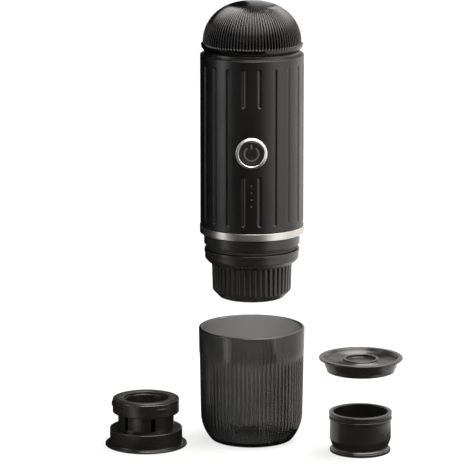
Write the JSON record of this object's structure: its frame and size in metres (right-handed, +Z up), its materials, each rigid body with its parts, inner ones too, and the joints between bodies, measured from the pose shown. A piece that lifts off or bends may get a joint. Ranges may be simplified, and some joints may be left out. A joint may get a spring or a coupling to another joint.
{
  "type": "portable espresso maker",
  "caption": "Hand-held battery espresso maker with a ribbed dome lid and grooved body above its fluted cup, with a capsule adapter, coffee basket and basket lid.",
  "frame": {"origin": "centre of the cup's flat foot, on the surface that the cup stands on", "axes": "+Z up along the axis of machine and cup, -Y towards the power button, +X to the coffee basket"},
  "size_m": [0.2154, 0.1042, 0.3228],
  "materials": {
    "body_coat": "soft-touch matt coat on a moulded shell",
    "lid_plastic": "moulded, satin ribs",
    "black_plastic": "moulded, fine satin grain",
    "ring_steel": "turned and brushed round",
    "tank_steel": "deep drawn, satin",
    "heater_aluminium": "cast",
    "cell_sleeve": "shrink sleeve over a cell",
    "board_green": "solder mask",
    "switch_black": "moulded",
    "light_clear": "clear light pipe",
    "motor_can": "drawn can",
    "hose_silicone": "milky silicone",
    "port_metal": "stamped",
    "bezel_bright": "bright ring",
    "button_black": "smooth satin cap",
    "seal_silicone": "moulded silicone",
    "cup_smoke": "smoky clear, fluted",
    "screen_steel": "etched sheet"
  },
  "bodies": {
    "machine": {"body_shell": "body_coat", "steel_ring": "ring_steel", "top_collar": "black_plastic", "water_tank": "tank_steel", "heating_plate": "heater_aluminium", "temperature_sensor": "switch_black", "battery_cells": "cell_sleeve", "chassis_plate": "black_plastic", "circuit_board": "board_green", "button_switch": "switch_black", "light_pipes": "light_clear", "pump_motor": "motor_can", "pump_head": "black_plastic", "intake_hose": "hose_silicone", "port_board": "board_green", "charging_port": "port_metal", "lower_housing": "black_plastic", "shower_plate": "screen_steel", "button_bezel": "bezel_bright"},
    "power_button": {"power_button": "button_black"},
    "lid_seal": {"lid_seal": "seal_silicone"},
    "lid": {"lid_dome": "lid_plastic"},
    "brew_gasket": {"brew_gasket": "seal_silicone"},
    "brew_head": {"brew_flange": "black_plastic", "brew_cap": "black_plastic", "outlet_nozzle": "screen_steel"},
    "cup": {"cup": "cup_smoke"},
    "capsule_adapter": {"adapter_base": "black_plastic", "adapter_cage": "black_plastic", "adapter_top_ring": "black_plastic", "capsule_well": "black_plastic", "adapter_seal": "seal_silicone", "needle_plate": "screen_steel"},
    "coffee_basket": {"basket_body": "black_plastic", "basket_screen": "screen_steel", "basket_ring": "seal_silicone"},
    "basket_lid": {"basket_lid": "black_plastic", "lid_screen": "screen_steel"}
  },
  "joints": [
    {"name": "power_button_press", "type": "slide", "parent": "machine", "child": "power_button", "axis": [0, 1, 0], "range_m": [0, 0.001], "stiffness_N_per_m": 400, "springref_m": -0.0008},
    {"name": "tank_lid_lift", "type": "slide", "parent": "machine", "child": "lid_seal", "axis": [0, 0, 1], "range_m": [0, 0.045]},
    {"name": "tank_lid_turn", "type": "hinge", "parent": "lid_seal", "child": "lid", "pos_m": [0, 0, 0.2876], "axis": [0, 0, 1], "range_deg": [0, 120]},
    {"name": "brew_head_drop", "type": "slide", "parent": "machine", "child": "brew_gasket", "axis": [0, 0, -1], "range_m": [0, 0.026]},
    {"name": "brew_head_turn", "type": "hinge", "parent": "brew_gasket", "child": "brew_head", "pos_m": [0, 0, 0.1426], "axis": [0, 0, 1], "range_deg": [0, 120]},
    {"name": "cup_lift", "type": "slide", "parent": "machine", "child": "cup", "axis": [0, 0, 1], "range_m": [0, 0.0697]},
    {"name": "capsule_adapter_lift", "type": "slide", "parent": "machine", "child": "capsule_adapter", "axis": [0, 0, 1], "range_m": [0, 0.05]},
    {"name": "coffee_basket_lift", "type": "slide", "parent": "machine", "child": "coffee_basket", "axis": [0, 0, 1], "range_m": [0, 0.05]},
    {"name": "basket_lid_close", "type": "slide", "parent": "coffee_basket", "child": "basket_lid", "axis": [0, 0, -1], "range_m": [0, 0.0348]}
  ]
}
